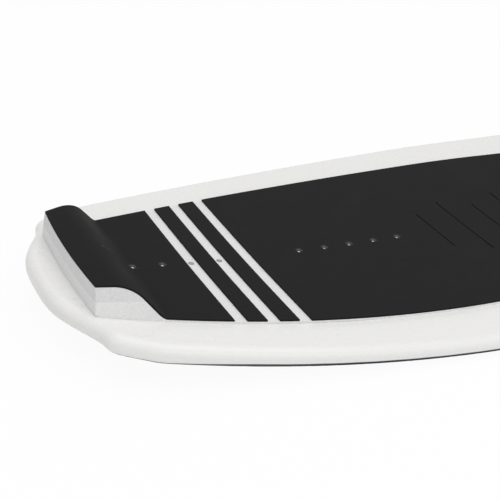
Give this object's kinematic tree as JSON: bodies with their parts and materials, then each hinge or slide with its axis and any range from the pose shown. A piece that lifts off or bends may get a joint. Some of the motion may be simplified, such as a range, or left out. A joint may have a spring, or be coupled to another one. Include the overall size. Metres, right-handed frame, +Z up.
{
  "type": "wakesurf board",
  "caption": "White skim-style wakesurf board with a full black foam deck pad, a raised tail kick, pale channels across the pad and a navy bottom with fin slots.",
  "frame": {"origin": "middle of the board's length and width, at the height of the flat of its bottom", "axes": "+X from the tail to the nose, +Y to the board's left rail, +Z up out of the deck"},
  "size_m": [1.472, 0.528, 0.1077],
  "materials": {
    "white_gloss": "glossy white moulded shell",
    "navy_gloss": "glossy dark navy bottom",
    "black_foam": "matte brushed EVA foam",
    "pale_foam": "matte pale grey EVA foam",
    "grey_foam": "matte grey EVA foam",
    "core_foam": "cut expanded polystyrene",
    "dense_foam": "cut dense foam",
    "stringer_wood": "sawn balsa",
    "glass_cloth": "resin-wetted glass cloth",
    "adhesive_film": "clear adhesive film",
    "box_plastic": "moulded black nylon",
    "screw_steel": "stainless steel"
  },
  "bodies": {
    "root": {"rail_left": "white_gloss", "rail_right": "white_gloss", "deck_skin": "white_gloss", "bottom_skin": "navy_gloss", "rear_patch": "glass_cloth", "front_patch": "glass_cloth", "foam_core_left": "core_foam", "foam_core_right": "core_foam", "stringer": "stringer_wood", "fin_box_left": "box_plastic", "fin_box_right": "box_plastic", "fin_box_centre": "box_plastic", "fin_box_block_left": "dense_foam", "fin_box_block_right": "dense_foam", "fin_box_block_centre": "dense_foam", "fin_box_screws": "screw_steel", "pad_adhesive": "adhesive_film", "pad_base": "pale_foam", "kick_block_lower": "pale_foam", "kick_block_upper": "grey_foam", "pad_tail": "black_foam", "pad_strip_rear": "black_foam", "pad_strip_front": "black_foam", "pad_front": "black_foam"}
  },
  "joints": []
}
